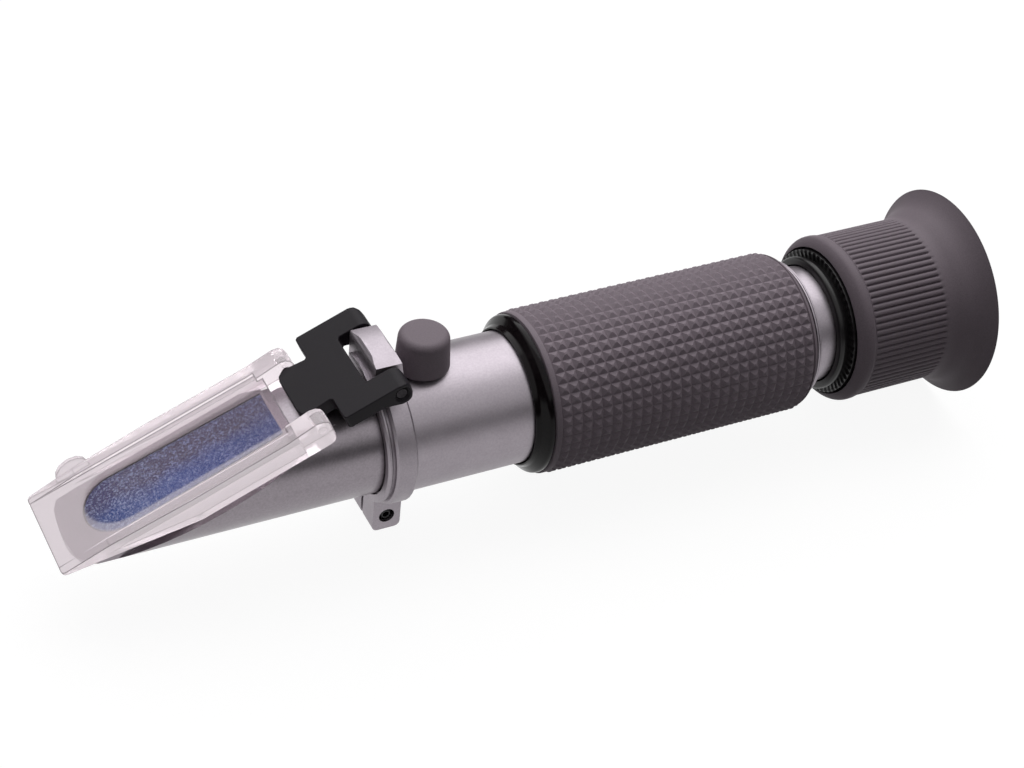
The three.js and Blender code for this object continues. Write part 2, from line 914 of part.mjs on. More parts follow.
// The black arm, in the cover's frame: a T whose arms straddle the clamp's lug.
function makeHingeArm() {
  const bottom = coverTop - armThickness;
  const sideView = [
    [-tongueReach, bottom],
    [armHeelReach - windowReach, bottom, armHeelFillet],
    [-armHeelReach, -armEndRadius, armHeelFillet],
    [armEndRadius, -armEndRadius, armEndRadius],
    [armEndRadius, coverTop, armEndRadius],
    [-tongueReach, coverTop],
  ];
  const half = [
    [-tongueReach, tongueTipHalfWidth, tongueTipFillet],
    [-crossbarReach, tongueRootHalfWidth, armCornerFillet],
    [-crossbarReach, armHalfWidth, armCornerFillet],
    [armEndRadius, armHalfWidth, armRearFillet],
    [armEndRadius, windowHalfWidth, armCornerFillet],
    [-windowReach, windowHalfWidth, armCornerFillet],
  ];
  const plan = [...half, ...mirrored(half)];
  const across = solid(acrossWidth(sideView, -armHalfWidth, armHalfWidth));
  const outline = solid(raised(plan, -armEndRadius - cutOverrun, coverTop + cutOverrun));
  const pinBore = crossPin(hingePinRadius + pinClearance, armHalfWidth + cutOverrun, 0, 0, smallSides);
  const recess = crossPin(hingeRecessRadius, armHalfWidth + cutOverrun, 0, 0, smallSides);
  const between = crossPin(hingeRecessRadius + cutOverrun, armHalfWidth - hingePinRecess, 0, 0, smallSides);
  return across
    .intersect(outline)
    .subtract(solid(pinBore))
    .subtract(solid(recess).subtract(solid(between)))
    .subtract(platePinLine(platePinRadius + pinClearance, armHalfWidth));
}

// The other half of a plan about the X axis, in the order that closes it.
function mirrored(half) {
  return half.map(([x, y, fillet]) => [x, -y, fillet]).reverse();
}

function platePinLine(radius, halfLength) {
  return solid(crossPin(radius, halfLength, -platePinReach, coverTop - armThickness / 2, smallSides));
}

// The clear plate, in the cover's frame: a thin panel between two deep side flanks, whose rear ends
// stand up as ears beside the arm's tongue.
function makeDaylightPlate() {
  const ear = -(earRearEdge + earLength);
  const rimTop = coverTop + rimRise;
  const earTop = coverTop + earRise;
  const flankBottom = coverTop - flankDrop;
  const sideView = [
    [-plateReach, coverTop - plateNoseThickness],
    [flankTaperLength - plateReach, flankBottom, flankTaperFillet],
    [-earRearEdge, flankBottom, earFootFillet],
    [-earRearEdge, earTop, earTopFillet],
    [ear, earTop],
    [ear - earRampLength, rimTop, earRampLength],
    [rimTaperLength - plateReach, rimTop, rimTaperLength],
    [-plateReach, coverTop],
  ];
  const half = [
    [-plateReach, plateNoseHalfWidth, plateCornerFillet],
    [flankTaperLength - plateReach, plateMidHalfWidth, flankTaperLength],
    [-earRearEdge, plateRearHalfWidth, plateCornerFillet],
  ];
  const blank = solid(acrossWidth(sideView, -plateMidHalfWidth, plateMidHalfWidth)).intersect(
    solid(raised([...half, ...mirrored(half)], flankBottom - cutOverrun, earTop + cutOverrun)),
  );
  const nose = -plateReach - cutOverrun;
  const rimInner = plateNoseHalfWidth - rimInset + fitGap;
  const flankInner = plateRearHalfWidth - flankThickness;
  const notchHalf = tongueTipHalfWidth + earGap;
  const top = raised(
    rectangle(nose, -rimInner, -plateRearEdge - plateBarLength, rimInner),
    coverTop,
    earTop + cutOverrun,
  );
  const under = raised(
    rectangle(nose, -flankInner, -plateRearEdge, flankInner),
    flankBottom - cutOverrun,
    plateUnderside,
  );
  const notch = raised(
    rectangle(-plateRearEdge, -notchHalf, 0, notchHalf),
    flankBottom - cutOverrun,
    earTop + cutOverrun,
  );
  const earTopGap = raised(
    rectangle(ear - earRampLength, -notchHalf, -plateRearEdge, notchHalf),
    coverTop,
    earTop + cutOverrun,
  );
  const tabTop = coverTop - tabDrop;
  const tab = raised(
    [
      [-tabReach - tabHalfLength, flankInner + fitGap],
      [tabHalfLength - tabReach, flankInner + fitGap],
      [tabHalfLength - tabReach, plateMidHalfWidth + tabOverhang, tabFillet],
      [-tabReach - tabHalfLength, plateMidHalfWidth + tabOverhang, tabFillet],
    ],
    tabTop - tabThickness,
    tabTop,
  );
  return blank
    .subtract(solid(top))
    .subtract(solid(under))
    .subtract(solid(notch))
    .subtract(solid(earTopGap))
    .add(solid(tab))
    .subtract(platePinLine(platePinRadius + pinClearance * 2, platePinHalfLength + fitGap));
}

// The cover's pieces lie in its own frame, so opening it is one turn about the hinge pin.
const cover = new THREE.Group();
cover.position.set(-hingeAhead, 0, hingeHeight);
cover.rotation.y = -coverSlope;
cover.add(
  part("hinge_arm", makeHingeArm(), blackMatte),
  part(
    "hinge_pin",
    solid(crossPin(hingePinRadius, armHalfWidth - hingePinRecess, 0, 0, smallSides)),
    polishedMetal,
  ),
  part("plate_pin", platePinLine(platePinRadius, platePinHalfLength), polishedMetal),
  part("daylight_plate", makeDaylightPlate(), clearPlastic),
);

const opticsFront = new THREE.Group();
opticsFront.add(
  part("objective_cell", makeObjectiveCell(), darkMetal),
  part(
    "objective_lens",
    makeLens(objectiveRadius, objectiveEdge, objectiveEdge + objectiveThickness, objectiveBulge),
    opticalGlass,
  ),
  part(
    "objective_retaining_ring",
    plainRing(
      objectiveRadius,
      objectiveRadius - lensLip,
      objectiveRingFront,
      objectiveRingFront + lensRingLength,
    ),
    darkMetal,
  ),
);

const calibration = new THREE.Group();
calibration.add(
  part("calibration_bush", makeCalibrationBush(), polishedMetal),
  part("calibration_screw", makeCalibrationScrew(), brassMetal),
  part("calibration_cap", makeCalibrationCap(), greyRubber),
);

const barrelBore = barrelRadius - barrelWall;
const lensRadius = barrelBore - fitGap;
const spacerFront = fieldLensFront + fieldLensThickness + fitGap;
const eyepiece = new THREE.Group();
eyepiece.add(
  part("eyepiece_collar", makeEyepieceCollar(), blackMatte),
  part("ocular_barrel", makeOcularBarrel(), darkMetal),
  part(
    "field_lens",
    makeLens(lensRadius, fieldLensFront, fieldLensFront + fieldLensThickness, ocularBulge),
    opticalGlass,
  ),
  part(
    "lens_spacer",
    plainRing(lensRadius, lensRadius - lensLip, spacerFront, eyeLensFront - fitGap),
    darkMetal,
  ),
  part(
    "eye_lens",
    makeLens(lensRadius, eyeLensFront, eyeLensFront + eyeLensThickness, ocularBulge),
    opticalGlass,
  ),
  part(
    "ocular_retaining_ring",
    plainRing(lensRadius, lensRadius - lensLip, barrelRear - lensRingLength, barrelRear),
    darkMetal,
  ),
  part("eyecup", makeEyecup(), greyRubber),
);

const reticleRadius = neckBoreRadius - fitGap;
const reticleFront = reticleRear - reticleThickness;
const housing = new THREE.Group();
housing.add(
  part("prism_body", makePrismBody(), satinMetal),
  part("measuring_prism", prismShape(fitGap, prismTop), blueGlass),
  part("clamp_band", makeClampBand(), polishedMetal),
  part("clamp_screw", makeClampScrew(), darkMetal),
  part("main_tube", makeMainTube(), satinMetal),
  part("grip_front_ring", makeGripFrontRing(), blackGloss),
  part("grip_sleeve", makeGripSleeve(), greyRubber),
  part("grip_rear_ring", makeGripRearRing(), polishedMetal),
  part("strip_anchor", makeStripAnchor(), darkMetal),
  part("bimetal_strip", makeBimetalStrip(), brassMetal),
  part("strip_screw", makeStripScrew(), darkMetal),
  part(
    "light_stop",
    plainRing(tubeBoreRadius - fitGap, stopApertureRadius, stopAfter, stopAfter + stopThickness),
    blackMatte,
  ),
  part("eyepiece_neck", makeEyepieceNeck(), satinMetal),
  part("reticle", solid(rod(reticleRadius, reticleFront, reticleRear, innerSides)), opticalGlass),
  part(
    "reticle_retaining_ring",
    plainRing(reticleRadius, reticleRadius - reticleLip, neckFront + fitGap, reticleFront - fitGap),
    darkMetal,
  ),
);

// The plate's top front edge is the furthest point ahead, and the eyecup's rim the furthest behind.
const noseTip = new THREE.Vector3(-plateReach, 0, coverTop).applyMatrix4(coverFrame);
const refractometer = new THREE.Group();
refractometer.add(housing, cover, opticsFront, calibration, eyepiece);
refractometer.position.set(-(noseTip.x + rimRear) / 2, 0, footDepth);

export default refractometer;
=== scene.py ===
"""The handheld refractometer's looks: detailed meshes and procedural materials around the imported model."""

import json
import math

import bmesh
import bpy
from mathutils import Matrix, Vector

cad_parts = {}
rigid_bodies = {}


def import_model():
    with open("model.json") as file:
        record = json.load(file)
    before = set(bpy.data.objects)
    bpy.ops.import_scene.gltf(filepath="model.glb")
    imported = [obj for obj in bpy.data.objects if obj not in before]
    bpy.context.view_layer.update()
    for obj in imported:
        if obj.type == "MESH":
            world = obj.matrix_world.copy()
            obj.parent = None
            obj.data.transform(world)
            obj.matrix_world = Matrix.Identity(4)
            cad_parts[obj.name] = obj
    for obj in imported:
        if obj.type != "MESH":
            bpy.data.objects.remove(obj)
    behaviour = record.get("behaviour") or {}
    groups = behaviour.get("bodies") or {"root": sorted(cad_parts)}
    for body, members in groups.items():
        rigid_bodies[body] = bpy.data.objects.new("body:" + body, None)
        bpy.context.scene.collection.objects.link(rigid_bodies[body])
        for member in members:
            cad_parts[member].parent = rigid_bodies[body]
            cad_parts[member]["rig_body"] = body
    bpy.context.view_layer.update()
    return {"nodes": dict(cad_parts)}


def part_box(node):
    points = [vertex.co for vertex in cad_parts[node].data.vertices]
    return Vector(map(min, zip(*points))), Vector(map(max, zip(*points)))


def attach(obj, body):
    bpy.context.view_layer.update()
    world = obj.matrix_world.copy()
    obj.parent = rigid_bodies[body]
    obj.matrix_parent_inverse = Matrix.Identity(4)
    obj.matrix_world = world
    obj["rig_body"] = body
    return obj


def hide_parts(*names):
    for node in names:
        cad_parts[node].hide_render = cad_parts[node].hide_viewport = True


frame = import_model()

MM = 0.001
TURN = 2 * math.pi

# Photograph's camera, in the row frame
PHOTO_WIDTH = 1024
FOCAL_PIXELS = 2310
SENSOR_WIDTH = 36.0
CAMERA_PLACE = Vector((-158.65, -267.2, 278.4)) * MM
CAMERA_TARGET = Vector((-3.05, 0, 22.04)) * MM
CAMERA_ROLL = math.radians(6.706)
CLIP_START = 0.01

# Edges and smoothing
SMOOTH_ANGLE = math.radians(32)
FLAT_ANGLE = math.radians(0.6)
ROUND_ANGLE = math.radians(6)
BEVEL_SEGMENTS = 3
NORMAL_WEIGHT = 100
ARC_STEPS = 5
TINY = 0.001
WELD = 0.001
FINE_WELD = 0.0005
ROUND_SIDES = 160
KNURL_CREASE = math.radians(30)
RIB_CREASE = math.radians(62)

# Places from the frame, in millimetres
TUBE_LOW, TUBE_HIGH = (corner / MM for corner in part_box("main_tube"))
AXIS_Z = (TUBE_LOW.z + TUBE_HIGH.z) / 2
TUBE_RADIUS = (TUBE_HIGH.z - TUBE_LOW.z) / 2
CAP_LOW, CAP_HIGH = (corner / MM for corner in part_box("calibration_cap"))

# Fine shapes of the grip
TUBE_GAP = 0.3
KNURL_ROWS = 26
KNURL_COLUMNS = 46
KNURL_PITCH = 1.95
KNURL_BAND = 1.2
KNURL_SINK = 0.3
KNURL_RISE = 0.22
KNURL_TIP_SHARE = 0.2
KNURL_STEP = 0.12
SLEEVE_REAR_FILLET = 1.9
SLEEVE_FRONT_FILLET = 0.3

# Rings at the grip's ends
FRONT_RING_LIP = 0.25
FRONT_RING_FOOT = 0.8
FRONT_RING_FOOT_RISE = 0.65
FRONT_RING_LAND = 0.7
FRONT_RING_FILLET = 0.9
REAR_RING_BEAD = 0.36
REAR_RING_GROOVE = 0.16
REAR_RING_GROOVE_DEPTH = 0.4
REAR_RING_STEP = 0.2
REAR_RING_FILLET = 0.12

# Focusing collar
NECK_RADIUS = 10.8
BARREL_RADIUS = 8.4
COLLAR_LIP_RADIUS = 12.45
COLLAR_LIP_LENGTH = 0.85
COLLAR_LIP_FILLET = 0.55
COLLAR_GROOVE_RADIUS = 11.9
COLLAR_GROOVE_LENGTH = 1.3
COLLAR_BEAD_RADIUS = 12.75
COLLAR_SHOULDER = 2.2
SERRATIONS = 60
SERRATION_DEPTH = 0.25
SERRATION_STEPS = 8

# Eyecup
SKIRT_BORE = 13.9
BEAD_LIP = 0.1
BEAD_RADIUS = 15.55
BEAD_FRONT_LENGTH = 1.5
BEAD_LENGTH = 3.1
BEAD_FRONT_FILLET = 1.3
BEAD_REAR_FILLET = 0.9
RIB_RADIUS = 15.3
RIB_BAND_LENGTH = 15.6
RIB_COUNT = 80
RIB_GROOVE_DEPTH = 0.5
RIB_COLUMN_SHARES = (0, 0.09, 0.17, 0.25, 0.5, 0.75, 0.83, 0.91)
RIB_GROOVE_HALF_SHARE = 0.2
RIB_END_STEPS = (0, 0.12, 0.3, 0.55)
RIB_END_LENGTH = 0.55
RIB_FOOT_LENGTH = 0.25
FLARE_LENGTH = 6.55
FLARE_FOOT_FILLET = 5
FLARE_MID_AHEAD = 2.45
FLARE_MID_RADIUS = 17
FLARE_MID_FILLET = 7
BOWL_WALL = 1.1
RIM_EDGE = 0.3
RIM_THICKNESS = 1
RIM_FILLET = 0.4
BOWL_FLOOR_AHEAD = 10.4
BOWL_FLOOR_RADIUS = 9.6

# Arm, pins and cover plate
ARM_BEVEL = 0.2
PIN_BEVEL = 0.1
PLATE_BEVEL = 0.13
PLATE_IOR = 1.25
PLATE_SPECULAR = 0.4
PLATE_POLISH_SCALE = 900
PLATE_ROUGHNESS = (0.02, 0.05)
WINDOW_TINT = (0.70, 0.645, 0.68)
WINDOW_BLEND = 0.6
SHEET_TINT = (0.58, 0.535, 0.56)
SHEET_CLARITY = 0.7
# Painted glow: emission on the sheet beyond the window and on the side walls, standing in for light carried
# through the plastic
SHEET_PAINTED_GLOW = 0.14
FLANK_PAINTED_GLOW = 0.20
FLANK_FACING = (0.6, 0.9)
PAINTED_GLOW_COLOR = (1, 0.925, 0.96)
# Painted dark outline on the plate's small rounds, standing in for their refraction
EDGE_MARK = "edge_line"
EDGE_PAINTED_SHADE = (0.22, 0.19, 0.205)
EDGE_SHARE = 0.62
EDGE_WIDTH = 0.12
EDGE_CLARITY = 0.4

# Prism, with colours from the front to the rear of its ground face
PRISM_FRONT = -78
PRISM_REAR = -48
PRISM_HALF_WIDTH = 6
NEAR_BLUES = [(0.0, (0.034, 0.098, 0.360)), (0.45, (0.010, 0.060, 0.360)), (1.0, (0.018, 0.046, 0.250))]
FAR_PURPLES = [(0.0, (0.052, 0.056, 0.200)), (0.5, (0.050, 0.030, 0.110)), (1.0, (0.046, 0.032, 0.120))]
# Painted glints: pale specks standing in for light caught by the ground grains, paler toward the front
GRAIN_GLINT_BLUES = [(0.0, (0.54, 0.70, 1.0)), (0.5, (0.34, 0.44, 0.84)), (1.0, (0.27, 0.31, 0.62))]
GRAIN_SCALE = 4300
GRAIN_GLINT_SHARE = 0.7
GRAIN_GLINT_START = 0.55
GRAIN_BUMP = 0.4
GRAIN_DEPTH = 0.05
DRIFT_SCALE = 180
DRIFT_SHARE = 0.35
PURPLE_START = 0.50
PURPLE_END = 0.80
PRISM_ROUGHNESS = 0.5
PRISM_SPECULAR = 0.25

# Grain of the metals and moulded surfaces
NOISE_RANGE = (0.3, 0.7)
CLOUD_SCALE = 260
SPECKLE_SCALE = 2600
SPECKLE_ROUGHNESS = 0.75
SPECKLE_RANGE = (0.36, 0.64)
METAL_BUMP = 0.08
METAL_DEPTH = 0.02
GLASS_IOR = 1.52
GLASS_TINT = (0.95, 0.98, 0.97)
GLASS_POLISH_SCALE = 700
GLASS_ROUGHNESS = (0.0, 0.02)

# Calibration cap
CAP_FOOT_RADIUS = 4.8
CAP_TOP_RADIUS = 4.35
CAP_FOOT_FILLET = 0.6
CAP_TOP_FILLET = 1.3
CAP_CAVITY_RADIUS = 3.5
CAP_CAVITY_SHARE = 0.79


# Helpers for meshes
def new_object(name, mesh):
    piece = bpy.data.objects.new(name, mesh)
    bpy.context.scene.collection.objects.link(piece)
    return piece


def smooth(mesh, angle=SMOOTH_ANGLE):
    for face in mesh.polygons:
        face.use_smooth = True
    mesh.set_sharp_from_angle(angle=angle)


def body_of(node):
    return frame["nodes"][node]["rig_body"]


def stand_in(piece, node, material):
    """The piece shows in place of a CAD node, on the same body and with the given material."""
    piece.data.materials.clear()
    piece.data.materials.append(material)
    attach(piece, body_of(node))
    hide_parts(node)
    return piece


def with_modifiers(piece):
    """Applies the piece's modifiers."""
    graph = bpy.context.evaluated_depsgraph_get()
    mesh = bpy.data.meshes.new_from_object(piece.evaluated_get(graph))
    piece.modifiers.clear()
    piece.data = mesh


def round_normals(mesh):
    """Faces that follow a cylinder about the tube's axis are shaded as that cylinder."""
    normals = [Vector(corner.vector) for corner in mesh.corner_normals]
    for face in mesh.polygons:
        out = Vector((0, face.center.y, face.center.z - AXIS_Z * MM))
        if out.length < MM:
            continue
        side = 1 if face.normal.dot(out) > 0 else -1
        if face.normal.angle(out * side) > ROUND_ANGLE:
            continue
        for corner in face.loop_indices:
            place = mesh.vertices[mesh.loops[corner].vertex_index].co
            normals[corner] = Vector((0, place.y, place.z - AXIS_Z * MM)).normalized() * side
    mesh.normals_split_custom_set(normals)


def refined(node, material, edge_round, turned_faces=False, clamped=True):
    """A copy of a CAD node with flat faces merged, small rounds on its edges and smooth shading."""
    mesh = frame["nodes"][node].data.copy()
    form = bmesh.new()
    form.from_mesh(mesh)
    bmesh.ops.remove_doubles(form, verts=form.verts, dist=WELD * MM)
    bmesh.ops.dissolve_limit(form, angle_limit=FLAT_ANGLE, verts=form.verts, edges=form.edges)
    form.to_mesh(mesh)
    form.free()
    piece = new_object(node + "_skin", mesh)
    smooth(mesh)
    if edge_round:
        bevel = piece.modifiers.new("edges", "BEVEL")
        bevel.width = edge_round * MM
        bevel.segments = BEVEL_SEGMENTS
        bevel.limit_method = "ANGLE"
        bevel.angle_limit = SMOOTH_ANGLE
        bevel.use_clamp_overlap = clamped
        with_modifiers(piece)
        smooth(piece.data)
        weigh = piece.modifiers.new("normals", "WEIGHTED_NORMAL")
        weigh.keep_sharp = True
        weigh.weight = NORMAL_WEIGHT
        with_modifiers(piece)
    if turned_faces:
        round_normals(piece.data)
    return stand_in(piece, node, material)


def mark_edges(piece):
    """Marks the narrow faces of the small rounds, where the clear plate gets a painted dark outline standing
    in for the refraction at its rounded edges.
    """
    mesh = piece.data
    marks = mesh.attributes.new(EDGE_MARK, "FLOAT", "FACE")
    for face in mesh.polygons:
        sides = [mesh.vertices[index].co for index in face.vertices]
        around = sum((side - sides[i - 1]).length for i, side in enumerate(sides))
        narrow = 2 * face.area < EDGE_WIDTH * MM * around
        marks.data[face.index].value = EDGE_SHARE if narrow else 0


def rounded(corners, steps=ARC_STEPS):
    """The points of a closed outline whose corners (x, y, fillet) are arcs."""
    points = []
    for i, corner in enumerate(corners):
        here = Vector(corner[:2])
        if len(corner) < 3:
            points.append(here)
            continue
        back = (Vector(corners[i - 1][:2]) - here).normalized()
        on = (Vector(corners[(i + 1) % len(corners)][:2]) - here).normalized()
        opening = back.angle(on) / 2
        centre = here + (back + on).normalized() * corner[2] / math.sin(opening)
        first = here + back * corner[2] / math.tan(opening) - centre
        last = here + on * corner[2] / math.tan(opening) - centre
        sweep = math.atan2(first.x * last.y - first.y * last.x, first.dot(last))
        for k in range(steps + 1):
            points.append(centre + Matrix.Rotation(sweep * k / steps, 2) @ first)
    return points


def about_tube(x, radius, share):
    """A point about the tube's axis, in metres."""
    angle = TURN * share
    return Vector((x, radius * math.sin(angle), AXIS_Z + radius * math.cos(angle))) * MM


def about_cap(z, radius, share):
    """A point about the calibration cap's upright axis, in metres."""
    angle = TURN * share
    centre = (CAP_LOW + CAP_HIGH) / 2
    return Vector((centre.x + radius * math.cos(angle), radius * math.sin(angle), z)) * MM


def finished(name, form, angle=SMOOTH_ANGLE):
    """A smooth-shaded object from a bmesh, with its faces pointing out."""
    bmesh.ops.remove_doubles(form, verts=form.verts, dist=FINE_WELD * MM)
    bmesh.ops.recalc_face_normals(form, faces=form.faces)
    mesh = bpy.data.meshes.new(name)
    form.to_mesh(mesh)
    form.free()
    smooth(mesh, angle)
    return new_object(name, mesh)


def turned(name, outline, shares=None, place=about_tube, detail=None, angle=SMOOTH_ANGLE):
    """A closed outline of (along, radius) swept round an axis. detail, if given, moves each point."""
    shares = shares or [k / ROUND_SIDES for k in range(ROUND_SIDES)]
    form = bmesh.new()
    rings = []
    for along, radius in outline:
        ring = []
        for share in shares:
            moved = detail(along, radius, share) if detail else (along, radius)
            ring.append(form.verts.new(place(*moved, share)))
        rings.append(ring)
    for i, ring in enumerate(rings):
        join_rings(form, ring, rings[(i + 1) % len(rings)])
    return finished(name, form, angle)


def join_rings(form, ring, following):
    count = len(ring)
    for k in range(count):
        form.faces.new((ring[k], ring[(k + 1) % count], following[(k + 1) % count], following[k]))


# Helpers for materials
def new_material(name):
    material = bpy.data.materials.new(name)
    material.use_nodes = True
    shader = material.node_tree.nodes["Principled BSDF"]
    return material, material.node_tree, shader


def object_place(tree):
    return tree.nodes.new("ShaderNodeTexCoord").outputs["Object"]


def noise(tree, scale, detail=3.0, roughness=0.5):
    node = tree.nodes.new("ShaderNodeTexNoise")
    node.inputs["Scale"].default_value = scale
    node.inputs["Detail"].default_value = detail
    node.inputs["Roughness"].default_value = roughness
    tree.links.new(object_place(tree), node.inputs["Vector"])
    return node.outputs["Fac"]


def spread(tree, value, low, high, from_low=NOISE_RANGE[0], from_high=NOISE_RANGE[1]):
    """The value's range from_low to from_high becomes low to high, and stops there."""
    node = tree.nodes.new("ShaderNodeMapRange")
    node.inputs["From Min"].default_value = from_low
    node.inputs["From Max"].default_value = from_high
    node.inputs["To Min"].default_value = low
    node.inputs["To Max"].default_value = high
    tree.links.new(value, node.inputs["Value"])
    return node.outputs["Result"]


def ramp(tree, value, stops):
    node = tree.nodes.new("ShaderNodeValToRGB")
    tree.links.new(value, node.inputs["Fac"])
    ends = node.color_ramp.elements
    ends[0].position, ends[0].color = stops[0][0], (*stops[0][1], 1)
    ends[1].position, ends[1].color = stops[-1][0], (*stops[-1][1], 1)
    for place, color in stops[1:-1]:
        ends.new(place).color = (*color, 1)
    return node.outputs["Color"]


def bump(tree, shader, height, strength, distance):
    node = tree.nodes.new("ShaderNodeBump")
    node.inputs["Strength"].default_value = strength
    node.inputs["Distance"].default_value = distance
    tree.links.new(height, node.inputs["Height"])
    tree.links.new(node.outputs["Normal"], shader.inputs["Normal"])


def maths(tree, operation, *values):
    """A Math node's result. Each value is a link or a number."""
    node = tree.nodes.new("ShaderNodeMath")
    node.operation = operation
    for socket, value in zip(node.inputs, values):
        if isinstance(value, bpy.types.NodeSocket):
            tree.links.new(value, socket)
        else:
            socket.default_value = value
    return node.outputs["Value"]


def mixed(tree, share, first, second):
    node = tree.nodes.new("ShaderNodeMix")
    node.data_type = "RGBA"
    tree.links.new(share, node.inputs["Factor"])
    tree.links.new(first, node.inputs["A"])
    tree.links.new(second, node.inputs["B"])
    return node.outputs["Result"]


# Materials
def metal(name, dark, light, rough, grain):
    material, tree, shader = new_material(name)
    shader.inputs["Metallic"].default_value = 1.0
    cloud = noise(tree, CLOUD_SCALE, detail=4)
    fine = noise(tree, grain, detail=2)
    speckle = noise(tree, SPECKLE_SCALE, detail=5, roughness=SPECKLE_ROUGHNESS)
    color = ramp(tree, speckle, list(zip(SPECKLE_RANGE, (dark, light))))
    tree.links.new(color, shader.inputs["Base Color"])
    tree.links.new(spread(tree, cloud, *rough), shader.inputs["Roughness"])
    bump(tree, shader, fine, METAL_BUMP, METAL_DEPTH * MM)
    return material


def moulded(name, dark, light, rough, grain, relief, depth, specular):
    material, tree, shader = new_material(name)
    fine = noise(tree, grain)
    color = ramp(tree, fine, list(zip(NOISE_RANGE, (dark, light))))
    tree.links.new(color, shader.inputs["Base Color"])
    tree.links.new(spread(tree, fine, *rough), shader.inputs["Roughness"])
    shader.inputs["Specular IOR Level"].default_value = specular
    bump(tree, shader, fine, relief, depth * MM)
    return material


def rubber(name, dark, light):
    return moulded(name, dark, light, rough=(0.55, 0.68), grain=4500, relief=0.25, depth=0.03, specular=0.25)


def past_window(tree):
    """0 over the prism, 1 beyond its outline: a strip with a round front, seen from above."""
    low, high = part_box("measuring_prism")
    radius = (high.y - low.y) / 2
    parts = tree.nodes.new("ShaderNodeSeparateXYZ")
    tree.links.new(object_place(tree), parts.inputs["Vector"])
    behind = maths(tree, "SUBTRACT", parts.outputs["X"], low.x + radius)
    flat = tree.nodes.new("ShaderNodeCombineXYZ")
    tree.links.new(maths(tree, "MINIMUM", behind, 0), flat.inputs["X"])
    tree.links.new(parts.outputs["Y"], flat.inputs["Y"])
    reach = tree.nodes.new("ShaderNodeVectorMath")
    reach.operation = "LENGTH"
    tree.links.new(flat.outputs["Vector"], reach.inputs[0])
    return spread(tree, reach.outputs["Value"], 0, 1, radius, radius + WINDOW_BLEND * MM)


def painted_glow_flanks(tree):
    """1 on the walls that face across the tube, where the plate gets its painted glow, 0 on the rest."""
    facing = tree.nodes.new("ShaderNodeSeparateXYZ")
    tree.links.new(tree.nodes.new("ShaderNodeTexCoord").outputs["Normal"], facing.inputs["Vector"])
    return spread(tree, maths(tree, "ABSOLUTE", facing.outputs["Y"]), 0, 1, *FLANK_FACING)


def clear_plastic():
    """Moulded clear plastic: a polished window, a slightly cloudy sheet round it, a painted glow standing in
    for light carried through the plastic and a painted dark outline standing in for the refraction at its
    small rounds.
    """
    material, tree, shader = new_material("clear_plastic")
    shader.inputs["IOR"].default_value = PLATE_IOR
    shader.inputs["Specular IOR Level"].default_value = PLATE_SPECULAR
    beyond = past_window(tree)
    rounds = tree.nodes.new("ShaderNodeAttribute")
    rounds.attribute_name = EDGE_MARK
    outline = rounds.outputs["Fac"]

    # Painted dark outline: darker colour and less transmission on the marked rounds, standing in for their
    # refraction
    edge = tree.nodes.new("ShaderNodeMix")
    edge.data_type = "RGBA"
    edge.inputs["B"].default_value = (*EDGE_PAINTED_SHADE, 1)
    tree.links.new(outline, edge.inputs["Factor"])
    tree.links.new(ramp(tree, beyond, [(0.0, WINDOW_TINT), (1.0, SHEET_TINT)]), edge.inputs["A"])
    tree.links.new(edge.outputs["Result"], shader.inputs["Base Color"])

    sheet_clarity = spread(tree, beyond, 1, SHEET_CLARITY, 0, 1)
    edge_clarity = spread(tree, outline, 1, EDGE_CLARITY, 0, 1)
    clarity = maths(tree, "MULTIPLY", sheet_clarity, edge_clarity)
    tree.links.new(clarity, shader.inputs["Transmission Weight"])

    # Painted glow standing in for light carried through the plastic, kept off the painted outline
    sheet_painted_glow = spread(tree, beyond, 0, SHEET_PAINTED_GLOW, 0, 1)
    glow = maths(tree, "MULTIPLY_ADD", painted_glow_flanks(tree), FLANK_PAINTED_GLOW, sheet_painted_glow)
    painted_glow_strength = maths(tree, "MULTIPLY", glow, spread(tree, outline, 1, 0, 0, 1))
    shader.inputs["Emission Color"].default_value = (*PAINTED_GLOW_COLOR, 1)
    tree.links.new(painted_glow_strength, shader.inputs["Emission Strength"])
    polish = noise(tree, PLATE_POLISH_SCALE)
    tree.links.new(spread(tree, polish, *PLATE_ROUGHNESS), shader.inputs["Roughness"])
    return material


def optical_glass():
    material, tree, shader = new_material("optical_glass")
    shader.inputs["Transmission Weight"].default_value = 1.0
    shader.inputs["IOR"].default_value = GLASS_IOR
    shader.inputs["Base Color"].default_value = (*GLASS_TINT, 1)
    polish = noise(tree, GLASS_POLISH_SCALE)
    tree.links.new(spread(tree, polish, *GLASS_ROUGHNESS), shader.inputs["Roughness"])
    return material


